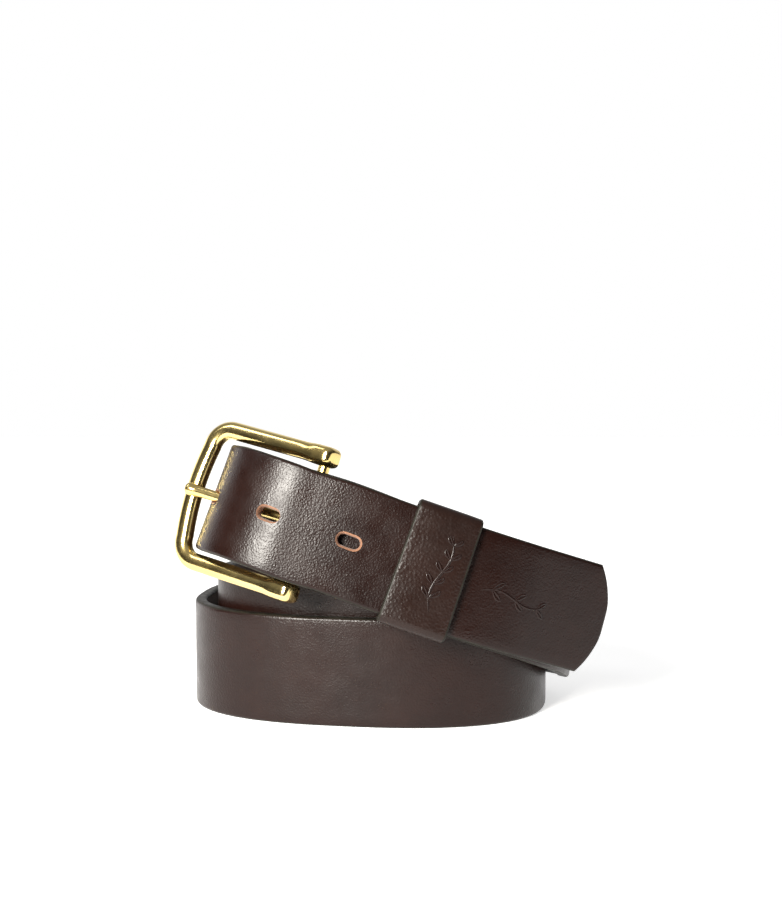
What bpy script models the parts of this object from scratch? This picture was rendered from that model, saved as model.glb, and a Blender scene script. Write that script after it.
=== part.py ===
"""A gentleman's leather belt, buckled on its middle hole and rolled into three turns that stand on edge.

The strap is one loft. Its route is a list of stations round an oval coil; the folded end round the
heel bar, the pocket for the keeper, the holes and the fasteners are all placed from distances along it.
Metres, +Z up, resting on z = 0 with the box centred on the origin.
"""

import math

import bmesh
import bpy
import numpy as np
from mathutils import Matrix, Vector

MM = 0.001

# Strap
STRAP_WIDTH = 38.0 * MM
STRAP_THICKNESS = 4.2 * MM
STRAP_EDGE = 1.3 * MM  # chamfer of the burnished edges
LAYER_GAP = 0.5 * MM  # air between leather layers that lie on each other
TIP_STRAIGHT = 32.0 * MM  # the free end, which springs straight off the coil
TIP_ARC_RADIUS = 29.0 * MM
TURN_BACK_LENGTH = 80.0 * MM  # the end folded back round the heel bar
RING_STEP = 4.2 * MM
RING_TURN = math.radians(7.0)

# Coil, seen from above: the centre line of the lowest turn
COIL_LENGTH = 124.0 * MM
COIL_DEPTH = 86.0 * MM
COIL_SQUARENESS = 2.35  # 2 is an ellipse
COIL_YAW = math.radians(-11.0)

# Holes
HOLE_SPACING = 28.0 * MM
HOLE_LENGTH = 10.0 * MM
HOLE_HEIGHT = 4.8 * MM
HOLE_BEND_ALLOWANCE = 1.0 * MM  # extra depth where the strap is bent and nothing lies behind it
HOLES_TOWARDS_TIP = 2
HOLES_TOWARDS_BUCKLE = 2
HOLE_PULL = 0.7 * MM  # how far the used hole sits past the prong, towards the tip

# Buckle
BAR_WIDTH = 6.2 * MM
BAR_THICKNESS = 5.4 * MM
BUCKLE_SIDE_GAP = 1.6 * MM  # between the strap's edge and the side bar
BUCKLE_REACH = 45.5 * MM  # heel bar to outer bar, centre to centre
BUCKLE_CORNER = 7.5 * MM  # centre line radius
BUCKLE_LIFT = 0.9 * MM  # above the strap's middle
BUCKLE_BOW = 1.6 * MM  # the outer bar's bulge
BUCKLE_RISE = 2.5 * MM  # side bars' centre above the heel bar
BUCKLE_SWING = math.radians(25.0)  # from the strap's own line towards the inside of the coil
LUG_LENGTH = 8.0 * MM
LUG_BACK = 3.6 * MM  # below the heel bar's axis
LUG_PROUD = 0.35 * MM
HEEL_BAR_DIAMETER = 4.0 * MM
HEEL_BAR_SEAT = 4.0 * MM  # into each lug
PIECE_GAP = 0.3 * MM

# Prong
PRONG_WIDTH = 3.7 * MM
PRONG_THICKNESS = 3.0 * MM
PRONG_EYE_WALL = 2.0 * MM
PRONG_EYE_WIDTH = 5.6 * MM
PRONG_TIP_WIDTH = 4.5 * MM
PRONG_OVERHANG = -2.4 * MM  # tip beyond the outer bar
PRONG_SLOT_GAP = 0.5 * MM
PRONG_SLOT_REACH = 10.0 * MM  # along each layer from the heel bar

# Keeper
KEEPER_WIDTH = 21.5 * MM
KEEPER_THICKNESS = 2.0 * MM
KEEPER_FIT = 0.6 * MM
KEEPER_CENTRE = 44.0 * MM  # from the heel bar along the strap
KEEPER_TRAVEL = 1.5 * MM  # each way
KEEPER_SEAM = 0.4 * MM
STAPLE_WIRE = 0.7 * MM
STAPLE_SPAN = 8.0 * MM

# Binding screws through the strap and its folded end
SCREW_ROWS = (17.0 * MM, 71.5 * MM)  # from the heel bar
SCREW_OFFSET = 11.0 * MM  # above and below the strap's middle
SCREW_HEAD_DIAMETER = 8.0 * MM
SCREW_HEAD_THICKNESS = 1.0 * MM
SCREW_RECESS = 1.5 * MM
BARREL_DIAMETER = 5.0 * MM
THREAD_DIAMETER = 2.6 * MM
SLOT_WIDTH = 0.8 * MM
SLOT_DEPTH = 0.5 * MM

# Sizes that follow from those above
PITCH = STRAP_THICKNESS + LAYER_GAP
POCKET = KEEPER_THICKNESS + KEEPER_FIT  # room the keeper takes between the strap and its folded end
HEEL_BAR_RADIUS = HEEL_BAR_DIAMETER / 2
FOLD_SPREAD = HEEL_BAR_DIAMETER + 2 * PIECE_GAP + STRAP_THICKNESS  # between the layers at the heel bar

# The belt's route: angle round the coil (degrees, 270 is the front), layers outside the lowest turn,
# keeper pockets outside it, height of the strap's middle in strap widths, and the lean of the strap's
# width to the right and to the back (degrees). FRONT is shared by the two layers of the buckled overlap.
FRONT = (
    (-103, 3.25, 0.0, 1.870, 20, 8),
    (-87, 2.60, 0.6, 1.765, 20, 8),
    (-68, 2.05, 1.0, 1.600, 20, 9),
    (-49, 2.00, 1.0, 1.415, 19, 10),
    (-36, 2.00, 1.0, 1.260, 18, 10),
    (-28, 2.10, 1.0, 1.155, 17, 10),
)
RIGHT_TURN = (
    (-14, 2.25, 0.9, 0.960, 14, 8),
    (0, 2.25, 0.5, 0.800, 12, 6),
    (16, 2.25, 0.3, 0.700, 10, 4),
    (39, 2.05, 0.1, 0.630, 8, 3),
    (90, 1.40, 0.0, 0.585, 4, 1),
    (149, 0.50, 0.0, 0.520, 1, 0),
)
LOWEST_TURN = (
    (180, 0.0, 0.0, 0.50, 0, 0),
    (215, 0.2, 0.0, 0.50, 0, 0),
    (270, 0.0, 0.0, 0.50, 0, 0),
    (360, 0.0, 0.0, 0.50, 0, 0),
)
MIDDLE_TURN = (
    (395, -0.2, 0.0, 0.55, 0, 0),
    (450, -0.6, 0.0, 0.62, 0, 0),
    (509, -1.3, 0.0, 0.72, 0, 0),
    (540, -1.8, 0.0, 0.79, 0, 0),
    (575, -1.4, 0.0, 0.80, 0, 0),
    (630, -1.2, 0.0, 0.79, 0, 0),
    (685, -1.2, 0.0, 0.79, 0, 0),
)
RISING_TURN = (
    (720, -1.40, 0.0, 0.82, 5, 2),
    (755, -2.20, 0.0, 0.98, 12, 5),
    (810, -3.30, 0.0, 1.32, 18, 7),
    (850, -4.10, 0.0, 1.57, 19, 8),
    (872, -4.35, 0.0, 1.70, 20, 8),
    (890, -4.20, 0.0, 1.80, 20, 8),
    (908, -3.60, 0.0, 1.89, 20, 8),
    (920, -2.80, 0.0, 1.95, 20, 8),
    (928, -1.75, 0.0, 1.99, 20, 8),
    (933.6, -0.40, 0.0, 2.02, 20, 8),
    (938, 1.00, 0.0, 2.045, 20, 8),
    (942.6, 2.25, 0.0, 2.065, 20, 8),
    (948, 3.25, 0.0, 2.07, 20, 8),
    (954, 3.95, 0.0, 2.06, 20, 8),
    (961, 4.35, 0.0, 2.02, 20, 8),
    (969, 4.45, 0.0, 1.96, 20, 8),
)
OVERLAP_TURNS = 1080  # degrees from the buckle end to the same place on the tip end


# ---------------------------------------------------------------- the route


def stations():
    step = PITCH / STRAP_WIDTH
    tip_side = tuple(
        (angle + OVERLAP_TURNS, lanes + 1, pockets, rise + step * math.sin(math.radians(back)), right, back)
        for angle, lanes, pockets, rise, right, back in FRONT
    )
    return np.array(FRONT + RIGHT_TURN + LOWEST_TURN + MIDDLE_TURN + RISING_TURN + tip_side, float)


def through(knots, values, at):
    """A smooth curve through the values at the knots, read at the given places."""
    step = np.diff(knots)
    slope = np.diff(values) / step
    tangent = np.empty(len(knots))
    tangent[0], tangent[-1] = slope[0], slope[-1]
    tangent[1:-1] = (slope[:-1] * step[1:] + slope[1:] * step[:-1]) / (step[:-1] + step[1:])
    i = np.clip(np.searchsorted(knots, at) - 1, 0, len(knots) - 2)
    t = (at - knots[i]) / step[i]
    return (
        (2 * t**3 - 3 * t**2 + 1) * values[i]
        + (t**3 - 2 * t**2 + t) * step[i] * tangent[i]
        + (3 * t**2 - 2 * t**3) * values[i + 1]
        + (t**3 - t**2) * step[i] * tangent[i + 1]
    )


def oval(angle, outside):
    """A point of the coil's plan oval, moved outwards square to it."""
    a, b, p = COIL_LENGTH / 2, COIL_DEPTH / 2, COIL_SQUARENESS
    c, s = np.cos(angle), np.sin(angle)
    radius = ((np.abs(c) / a) ** p + (np.abs(s) / b) ** p) ** (-1 / p)
    x, y = radius * c, radius * s
    nx = np.sign(x) * np.abs(x) ** (p - 1) / a**p
    ny = np.sign(y) * np.abs(y) ** (p - 1) / b**p
    size = np.hypot(nx, ny)
    x, y = x + outside * nx / size, y + outside * ny / size
    return x * math.cos(COIL_YAW) - y * math.sin(COIL_YAW), x * math.sin(COIL_YAW) + y * math.cos(COIL_YAW)


class Route:
    """Points along the strap's middle with its directions: along, across (up its width) and out."""

    def __init__(self, points, lean):
        self.points = points
        along = np.gradient(points, axis=0)
        self.along = along / np.linalg.norm(along, axis=1, keepdims=True)
        across = lean - (lean * self.along).sum(1, keepdims=True) * self.along
        self.across = across / np.linalg.norm(across, axis=1, keepdims=True)
        self.out = np.cross(self.along, self.across)
        steps = np.linalg.norm(np.diff(points, axis=0), axis=1)
        self.distance = np.concatenate([[0.0], np.cumsum(steps)])
        self.length = self.distance[-1]

    def at(self, distance):
        """Point, along, across and out at a distance from the start."""
        read = [
            np.stack([np.interp(distance, self.distance, v[:, k]) for k in range(3)], -1)
            for v in (self.points, self.along, self.across, self.out)
        ]
        return [read[0]] + [v / np.linalg.norm(v, axis=-1, keepdims=True) for v in read[1:]]

    def matrix(self, distance, out=0.0, across=0.0):
        """A placement whose X runs along the strap, Y up its width turned to match, and Z out of it."""
        point, x, y, z = (Vector(v) for v in self.at(distance))
        placed = Matrix((x, y, z)).transposed().to_4x4()
        placed.translation = point + z * out + y * across
        return placed


def main_route():
    """From the heel bar round the coil to the tip."""
    table = stations()
    angle = np.arange(table[0, 0], table[-1, 0], 0.25)
    lanes, pockets, rise, right, back = (through(table[:, 0], table[:, k], angle) for k in range(1, 6))
    x, y = oval(np.radians(angle), lanes * PITCH + pockets * POCKET)
    points = np.stack([x, y, np.maximum(rise, 0.5) * STRAP_WIDTH], 1)
    lean = np.stack([np.tan(np.radians(right)), np.tan(np.radians(back)), np.ones(len(angle))], 1)
    heading = points[-1] - points[-2]
    heading /= np.linalg.norm(heading)
    beyond = np.arange(0.5 * MM, TIP_STRAIGHT, 0.5 * MM)
    points = np.vstack([points, points[-1] + heading * beyond[:, None]])
    lean = np.vstack([lean, np.repeat(lean[-1:], len(beyond), axis=0)])
    route = Route(points, lean)
    route.overlap = np.interp(table[0, 0] + OVERLAP_TURNS, angle, route.distance[: len(angle)])
    return route


def ease(value):
    value = np.clip(value, 0.0, 1.0)
    return value * value * (3 - 2 * value)


def layer_spread(distance):
    """How far the folded end's middle lies inside the strap's middle."""
    near = FOLD_SPREAD - PITCH
    closing = SCREW_ROWS[0] - SCREW_HEAD_DIAMETER / 2
    half = KEEPER_WIDTH / 2 + KEEPER_TRAVEL
    ramp = (SCREW_ROWS[1] - SCREW_ROWS[0] - SCREW_HEAD_DIAMETER) / 2 - half
    pocket = ease((half + ramp - np.abs(distance - KEEPER_CENTRE)) / ramp)
    return PITCH + near * (1 - ease(distance / closing)) + POCKET * pocket


def fold_route(main):
    """The folded end, from its raw edge to the heel bar, then round the bar to meet the main route."""
    distance = np.arange(TURN_BACK_LENGTH, 0.0, -0.5 * MM)
    point, _, across, out = main.at(distance)
    back = point - out * layer_spread(distance)[:, None]
    point, along, up, out = (v[0] for v in main.at(np.array([0.0])))
    centre = point - out * FOLD_SPREAD / 2
    turn = np.radians(np.arange(0.0, 180.0, 6.0))[:, None]
    bend = centre - (out * np.cos(turn) + along * np.sin(turn)) * FOLD_SPREAD / 2
    return np.vstack([back, bend]), np.vstack([across, np.repeat(up[None], len(bend), axis=0)]), centre


def whole_route(main):
    points, lean, _ = fold_route(main)
    return Route(np.vstack([points, main.points]), np.vstack([lean, main.across]))


def ring_places(route, tip_run):
    """Distances for the loft's rings: a step at most, and closer where the strap turns."""
    bend = np.linalg.norm(np.diff(route.along, axis=0), axis=1)
    weight = np.maximum(np.diff(route.distance) / RING_STEP, bend / RING_TURN)
    filled = np.concatenate([[0.0], np.cumsum(weight)])
    body = np.interp(np.linspace(0, filled[-1], math.ceil(filled[-1])), filled, route.distance)
    tip = route.length - tip_run * (1 - np.sin(np.radians(np.arange(0, 90, 15))))
    return np.concatenate([body[body < tip[0] - RING_STEP / 2], tip])


# ---------------------------------------------------------------- scene helpers


def clear_scene():
    for obj in list(bpy.data.objects):
        bpy.data.objects.remove(obj, do_unlink=True)


def collection(name):
    made = bpy.data.collections.new(name)
    bpy.context.scene.collection.children.link(made)
    return made


def material(name, colour, roughness, metallic=0.0):
    made = bpy.data.materials.new(name)
    made.use_nodes = True
    surface = made.node_tree.nodes["Principled BSDF"]
    surface.inputs["Base Color"].default_value = (*colour, 1.0)
    surface.inputs["Roughness"].default_value = roughness
    surface.inputs["Metallic"].default_value = metallic
    return made


def add_object(name, mesh, group, finish=None, placed=None, parent=None):
    obj = bpy.data.objects.new(name, mesh)
    group.objects.link(obj)
    if finish:
        mesh.materials.append(finish)
    if placed is not None:
        obj.matrix_world = placed
    if parent is not None:
        obj.parent = parent
    mesh.shade_smooth()
    mesh.set_sharp_from_angle(angle=math.radians(35))
    return obj


def mesh_of(bm, name):
    bmesh.ops.recalc_face_normals(bm, faces=bm.faces)
    mesh = bpy.data.meshes.new(name)
    bm.to_mesh(mesh)
    bm.free()
    return mesh


def loft(name, rings, closed_rings=True, capped=True):
    """A skin over rings of equally many points, with a face over each end."""
    bm = bmesh.new()
    rows = [[bm.verts.new(point) for point in ring] for ring in rings]
    count = len(rows[0])
    sides = count if closed_rings else count - 1
    for first, second in zip(rows, rows[1:]):
        for i in range(sides):
            j = (i + 1) % count
            bm.faces.new((first[i], first[j], second[j], second[i]))
    if capped:
        bm.faces.new(rows[0])
        bm.faces.new(rows[-1])
    return mesh_of(bm, name)


def cylinder(name, radius, low, high, segments=24, axis="Z"):
    bm = bmesh.new()
    turned = {"Z": Matrix(), "Y": Matrix.Rotation(math.pi / 2, 4, "X")}[axis]
    middle = Matrix.Translation((0, 0, (low + high) / 2))
    bmesh.ops.create_cone(
        bm,
        cap_ends=True,
        segments=segments,
        radius1=radius,
        radius2=radius,
        depth=high - low,
        matrix=turned @ middle,
    )
    return mesh_of(bm, name)


def box(name, low, high):
    bm = bmesh.new()
    size = Vector(high) - Vector(low)
    middle = (Vector(high) + Vector(low)) / 2
    bmesh.ops.create_cube(bm, size=1.0, matrix=Matrix.Translation(middle) @ Matrix.Diagonal((*size, 1)))
    return mesh_of(bm, name)


def slot(name, length, height, low, high, segments=8):
    """A prism with round ends: length along X, height along Y."""
    radius, reach = height / 2, (length - height) / 2
    outline = []
    for end in (1, -1):
        for i in range(segments + 1):
            angle = math.pi * (i / segments - 0.5)
            outline.append((end * (reach + radius * math.cos(angle)), end * radius * math.sin(angle)))
    return loft(name, [[(x, y, z) for x, y in outline] for z in (low, high)])


def cut(obj, name, mesh, cutters, placed, operation="DIFFERENCE"):
    tool = add_object(name, mesh, cutters, placed=placed)
    tool.hide_render = True
    tool.display_type = "WIRE"
    change = obj.modifiers.new(name, "BOOLEAN")
    change.operation = operation
    change.solver = "EXACT"
    change.object = tool
    return tool


def rounded(obj, width, segments=2):
    bevel = obj.modifiers.new("rounding", "BEVEL")
    bevel.width = width
    bevel.segments = segments
    bevel.limit_method = "ANGLE"


# ---------------------------------------------------------------- leather


def strap_outline(half_width):
    """The strap's section as (across, out) points, with chamfered edges."""
    t, e = STRAP_THICKNESS / 2, STRAP_EDGE
    e_across = min(e, half_width / 2)
    corners = ((half_width - e_across, t), (half_width, t - e))
    upper = [(a, o) for a, o in corners] + [(a, -o) for a, o in reversed(corners)]
    return upper + [(-a, o) for a, o in reversed(upper)]


def strap_mesh(route):
    half = STRAP_WIDTH / 2
    tip_run = TIP_ARC_RADIUS - math.sqrt(TIP_ARC_RADIUS**2 - half**2)
    places = ring_places(route, tip_run)
    rings = []
    for distance in places:
        from_end = max(route.length - distance, 0.0)
        reach = TIP_ARC_RADIUS - min(from_end, tip_run)
        width = math.sqrt(max(TIP_ARC_RADIUS**2 - reach**2, (2 * MM) ** 2))
        point, _, across, out = route.at(np.array([distance]))
        rings.append([point[0] + across[0] * a + out[0] * o for a, o in strap_outline(min(width, half))])
    return loft("strap", rings)


def hole_places(main, prong_line):
    """Distances of the holes: the used one is where the strap meets the prong."""
    start, heading = prong_line
    last_bend = (main.distance > 0.6 * main.length) & (main.distance < main.overlap)
    apart = main.points - np.array(start)
    off_line = np.linalg.norm(np.cross(apart, np.array(heading)), axis=1)
    used = main.distance[last_bend][np.argmin(off_line[last_bend])]
    order = range(-HOLES_TOWARDS_BUCKLE, HOLES_TOWARDS_TIP + 1)
    return [used + HOLE_PULL + i * HOLE_SPACING for i in order]


def make_strap(group, cutters, leather, main, prong_line):
    strap = add_object("strap", strap_mesh(whole_route(main)), group, leather)
    outer = STRAP_THICKNESS / 2 + LAYER_GAP / 2
    for i, distance in enumerate(hole_places(main, prong_line)):
        inner = outer + (HOLE_BEND_ALLOWANCE if distance < main.overlap else 0)
        shape = slot(f"hole_{i + 1}", HOLE_LENGTH, HOLE_HEIGHT, -inner, outer)
        cut(strap, f"hole_{i + 1}_cutter", shape, cutters, main.matrix(distance))
    cut_prong_slot(strap, cutters, main)
    for row, along in enumerate(SCREW_ROWS):
        for side in (-1, 1):
            cut_screw_holes(strap, cutters, main, along, side, f"{row + 1}{'b' if side < 0 else 't'}")
    return strap


def cut_prong_slot(strap, cutters, main):
    """The slot through the fold that lets the prong's eye sit on the heel bar."""
    height = PRONG_EYE_WIDTH + 2 * PRONG_SLOT_GAP
    outer = FOLD_SPREAD / 2 + STRAP_THICKNESS / 2 + LAYER_GAP / 2
    low = -FOLD_SPREAD / 2 - STRAP_THICKNESS / 2 - LAYER_GAP / 2
    shape = slot("prong_slot", 2 * PRONG_SLOT_REACH, height, low, outer)
    placed = main.matrix(0.0, out=-FOLD_SPREAD / 2, across=BUCKLE_LIFT)
    cut(strap, "prong_slot_cutter", shape, cutters, placed)


def cut_screw_holes(strap, cutters, main, along, side, label):
    spread = float(layer_spread(np.array([along]))[0])
    face = STRAP_THICKNESS / 2
    placed = main.matrix(along, across=side * SCREW_OFFSET)
    wall = face + LAYER_GAP / 2
    barrel = cylinder("barrel_hole", BARREL_DIAMETER / 2 + PIECE_GAP, -spread - wall, wall)
    cut(strap, f"barrel_hole_{label}", barrel, cutters, placed)
    radius = SCREW_HEAD_DIAMETER / 2 + PIECE_GAP
    front = cylinder("front_recess", radius, face - SCREW_RECESS, wall)
    cut(strap, f"front_recess_{label}", front, cutters, placed)
    back = cylinder("back_recess", radius, -spread - wall, -spread - face + SCREW_RECESS)
    cut(strap, f"back_recess_{label}", back, cutters, placed)


def keeper_outline():
    """The keeper's inner loop as (across, out) points, open at the seam behind the strap."""
    side = STRAP_WIDTH / 2 + KEEPER_FIT
    back = -STRAP_THICKNESS / 2 - KEEPER_FIT
    front = PITCH + STRAP_THICKNESS / 2 + KEEPER_FIT
    radius = KEEPER_THICKNESS / 2
    half = [(KEEPER_SEAM / 2, back)]
    for centre_out, start in ((back + radius, -90), (front - radius, 0)):
        for i in range(4):
            angle = math.radians(start + 30 * i)
            half.append((side - radius + radius * math.cos(angle), centre_out + radius * math.sin(angle)))
    return half + [(-a, o) for a, o in reversed(half)]


def make_keeper(group, cutters, leather, main, pivot):
    turned_back = pivot.inverted()
    rings = []
    for distance in np.linspace(-KEEPER_WIDTH / 2, KEEPER_WIDTH / 2, 7) + KEEPER_CENTRE:
        point, _, across, out = main.at(np.array([distance]))
        ring = [Vector(point[0] + across[0] * a + out[0] * o) for a, o in keeper_outline()]
        rings.append([turned_back @ point for point in ring])
    keeper = add_object(
        "keeper_loop", loft("keeper_loop", rings, closed_rings=False, capped=False), group, leather, pivot
    )
    wall = keeper.modifiers.new("leather thickness", "SOLIDIFY")
    wall.thickness = KEEPER_THICKNESS
    wall.offset = 1.0
    wall.use_even_offset = True
    outer = -STRAP_THICKNESS / 2 - KEEPER_FIT - KEEPER_THICKNESS
    leg = STAPLE_SPAN / 2
    crown = box(
        "staple_crown",
        (-STAPLE_WIRE - PIECE_GAP, -leg - STAPLE_WIRE, outer - PIECE_GAP),
        (STAPLE_WIRE + PIECE_GAP, leg + STAPLE_WIRE, outer + STAPLE_WIRE + PIECE_GAP),
    )
    cut(keeper, "staple_recess", crown, cutters, pivot)
    return keeper


def make_staple(group, steel, pivot):
    """The wire that joins the keeper's two ends, let into its back."""
    outer = -STRAP_THICKNESS / 2 - KEEPER_FIT - KEEPER_THICKNESS
    leg = STAPLE_SPAN / 2
    shape = box(
        "keeper_staple",
        (-STAPLE_WIRE, -leg, outer),
        (STAPLE_WIRE, leg, outer + STAPLE_WIRE),
    )
    staple = add_object("keeper_staple", shape, group, steel, pivot)
    rounded(staple, STAPLE_WIRE / 4)
    return staple


# ---------------------------------------------------------------- buckle


def side_bar_y():
    return STRAP_WIDTH / 2 + BUCKLE_SIDE_GAP + BAR_WIDTH / 2


def bow_at(y):
    """The outer bar's bulge at a place across the buckle."""
    straight = side_bar_y() - BUCKLE_CORNER
    return BUCKLE_BOW * max(0.0, 1 - (y / straight) ** 2)


def frame_centre_line():
    """Half of the frame's centre line, from the lug round the corner to the middle of the outer bar."""
    side, reach, corner = side_bar_y(), BUCKLE_REACH, BUCKLE_CORNER
    line = [(0.0, side)]
    line += [((reach - corner) * i / 5, side) for i in range(1, 5)]
    for i in range(9):
        angle = math.radians(90 - 90 * i / 8)
        line.append((reach - corner + corner * math.cos(angle), side - corner + corner * math.sin(angle)))
    straight = side - corner
    line += [(reach + bow_at(straight * (1 - i / 5)), straight * (1 - i / 5)) for i in range(1, 6)]
    return line


def make_frame(group, cutters, brass, placed):
    half = frame_centre_line()
    line = np.array(half + [(x, -y) for x, y in reversed(half[:-1])])
    heading = np.gradient(line, axis=0)
    heading /= np.linalg.norm(heading, axis=1, keepdims=True)
    rings = []
    for (x, y), (hx, hy) in zip(line, heading):
        ring = []
        for i in range(16):
            angle = math.tau * i / 16
            c, s = math.cos(angle), math.sin(angle)
            across = math.copysign(abs(c) ** 0.8, c) * BAR_WIDTH / 2
            up = math.copysign(abs(s) ** 0.8, s) * BAR_THICKNESS / 2
            ring.append((x + hy * across, y - hx * across, BUCKLE_RISE + up))
        rings.append(ring)
    frame = add_object("buckle_frame", loft("buckle_frame", rings), group, brass, placed)
    inner = side_bar_y() - BAR_WIDTH / 2
    seat = inner + HEEL_BAR_SEAT + PIECE_GAP
    for side, label in ((1, "lower"), (-1, "upper")):
        edges = sorted((side * (inner - LUG_PROUD), side * (inner + BAR_WIDTH + LUG_PROUD)))
        low = (-LUG_LENGTH / 2, edges[0], -LUG_BACK)
        high = (LUG_LENGTH / 2, edges[1], BUCKLE_RISE + BAR_THICKNESS / 2 + LUG_PROUD)
        lug = cut(frame, f"{label}_lug", box("lug", low, high), cutters, placed, "UNION")
        rounded(lug, 1.7 * MM, 3)
    bore = cylinder("heel_bar_seat", HEEL_BAR_RADIUS + PIECE_GAP, -seat, seat, axis="Y")
    cut(frame, "heel_bar_bore", bore, cutters, placed)
    return frame


def make_heel_bar(group, brass, placed):
    end = STRAP_WIDTH / 2 + BUCKLE_SIDE_GAP + HEEL_BAR_SEAT
    mesh = cylinder("heel_bar", HEEL_BAR_RADIUS, -end, end, axis="Y")
    return add_object("heel_bar", mesh, group, brass, placed)


def prong_rest():
    """The prong's axis where it crosses the outer bar, as (towards the bar, out)."""
    deepest = PRONG_THICKNESS / 2 * PRONG_TIP_WIDTH / PRONG_WIDTH
    return BUCKLE_REACH + BUCKLE_BOW, BUCKLE_RISE + BAR_THICKNESS / 2 + PIECE_GAP + deepest


def prong_start():
    return 0.0, HEEL_BAR_RADIUS + PIECE_GAP + PRONG_EYE_WALL - PRONG_THICKNESS / 2 - PIECE_GAP


def make_prong(group, cutters, brass, placed):
    (x0, z0), (x1, z1) = prong_start(), prong_rest()
    end = x1 + BAR_WIDTH / 2 + PRONG_OVERHANG
    shank, tip = PRONG_WIDTH / 2, PRONG_TIP_WIDTH / 2
    bulb = ((5.5, shank), (4.2, shank * 1.04), (3.1, tip * 0.98), (2.0, tip))
    bulb += ((1.0, tip * 0.88), (0.3, tip * 0.6), (0.0, tip * 0.25))
    profile = [(x0 + (end - x0) * i / 10, shank) for i in range(9)]
    profile += [(end - back * MM, half) for back, half in bulb]
    rings = []
    for x, half in profile:
        centre = z0 + (z1 - z0) * (x - x0) / (x1 - x0)
        deep = half * PRONG_THICKNESS / PRONG_WIDTH
        turns = [math.tau * i / 16 for i in range(16)]
        rings.append([(x, half * math.cos(a), centre + deep * math.sin(a)) for a in turns])
    prong = add_object("prong", loft("prong", rings), group, brass, placed)
    eye = HEEL_BAR_RADIUS + PIECE_GAP + PRONG_EYE_WALL
    half = PRONG_EYE_WIDTH / 2
    collar = cylinder("prong_eye", eye, -half, half, axis="Y")
    cut(prong, "prong_eye_collar", collar, cutters, placed, "UNION")
    bore = cylinder("prong_bore", HEEL_BAR_RADIUS + PIECE_GAP, -2 * half, 2 * half, axis="Y")
    cut(prong, "prong_eye_bore", bore, cutters, placed)
    return prong


# ---------------------------------------------------------------- binding screws


def turned(name, profile, group, finish, placed):
    """A solid of revolution about Z from (radius, z) points that run from the axis down to the axis."""
    bm = bmesh.new()
    points = [bm.verts.new((radius, 0, z)) for radius, z in profile]
    for first, second in zip(points, points[1:]):
        bm.edges.new((first, second))
    mesh = bpy.data.meshes.new(name)
    bm.to_mesh(mesh)
    bm.free()
    obj = add_object(name, mesh, group, finish, placed)
    spin = obj.modifiers.new("turning", "SCREW")
    spin.steps = spin.render_steps = 20
    spin.use_merge_vertices = True
    spin.merge_threshold = 0.00001
    spin.use_normal_calculate = True
    spin.use_normal_flip = True
    return obj


def make_binding_screw(group, cutters, brass, main, along, side, number):
    """A post from the front and the screw that closes it from the back, both flush with the leather."""
    spread = float(layer_spread(np.array([along]))[0])
    face = STRAP_THICKNESS / 2
    placed = main.matrix(along, across=side * SCREW_OFFSET)
    head, dome = SCREW_HEAD_DIAMETER / 2, 0.3 * MM
    under = face - SCREW_RECESS + PIECE_GAP
    top = under + SCREW_HEAD_THICKNESS
    barrel_end = -spread - face + SCREW_RECESS
    barrel, thread = BARREL_DIAMETER / 2, THREAD_DIAMETER / 2
    bore_top = under - 0.5 * MM
    post = (
        (0, top),
        (head - dome, top),
        (head, top - dome),
        (head, under),
        (barrel, under),
        (barrel, barrel_end),
        (thread + PIECE_GAP, barrel_end),
        (thread + PIECE_GAP, bore_top),
        (0, bore_top),
    )
    turned(f"screw_post_{number}", post, group, brass, placed)
    bottom = barrel_end - PIECE_GAP
    screw = (
        (0, bore_top - 1.0 * MM),
        (thread, bore_top - 1.0 * MM),
        (thread, bottom),
        (head, bottom),
        (head, bottom - SCREW_HEAD_THICKNESS + dome),
        (head - dome, bottom - SCREW_HEAD_THICKNESS),
        (0, bottom - SCREW_HEAD_THICKNESS),
    )
    made = turned(f"binding_screw_{number}", screw, group, brass, placed)
    low = bottom - SCREW_HEAD_THICKNESS
    driver = box(
        "driver_slot", (-2 * head, -SLOT_WIDTH / 2, low - SLOT_DEPTH), (2 * head, SLOT_WIDTH / 2, low + SLOT_DEPTH)
    )
    cut(made, f"driver_slot_{number}", driver, cutters, placed)


# ---------------------------------------------------------------- the belt


def buckle_placement(main):
    """The heel bar's place: X towards the outer bar, Y down along the bar, Z out of the coil."""
    _, _, centre = fold_route(main)
    _, along, across, out = (Vector(v[0]) for v in main.at(np.array([0.0])))
    placed = Matrix((-along, -across, out)).transposed().to_4x4()
    placed.translation = Vector(centre) + across * BUCKLE_LIFT
    return placed @ Matrix.Rotation(BUCKLE_SWING, 4, "Y")


def centre_on_origin(root):
    """Moves the whole belt so that its box stands centred on the origin."""
    bpy.context.view_layer.update()
    graph = bpy.context.evaluated_depsgraph_get()
    corners = []
    for obj in root.children:
        if obj.hide_render or obj.type != "MESH":
            continue
        made = obj.evaluated_get(graph).to_mesh()
        points = np.empty(len(made.vertices) * 3, np.float32)
        made.vertices.foreach_get("co", points)
        world = np.array(obj.matrix_world)
        points = points.reshape(-1, 3) @ world[:3, :3].T + world[:3, 3]
        corners += [points.min(0), points.max(0)]
    low, high = np.min(corners, axis=0), np.max(corners, axis=0)
    root.location = (-(low[0] + high[0]) / 2, -(low[1] + high[1]) / 2, -low[2])


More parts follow.
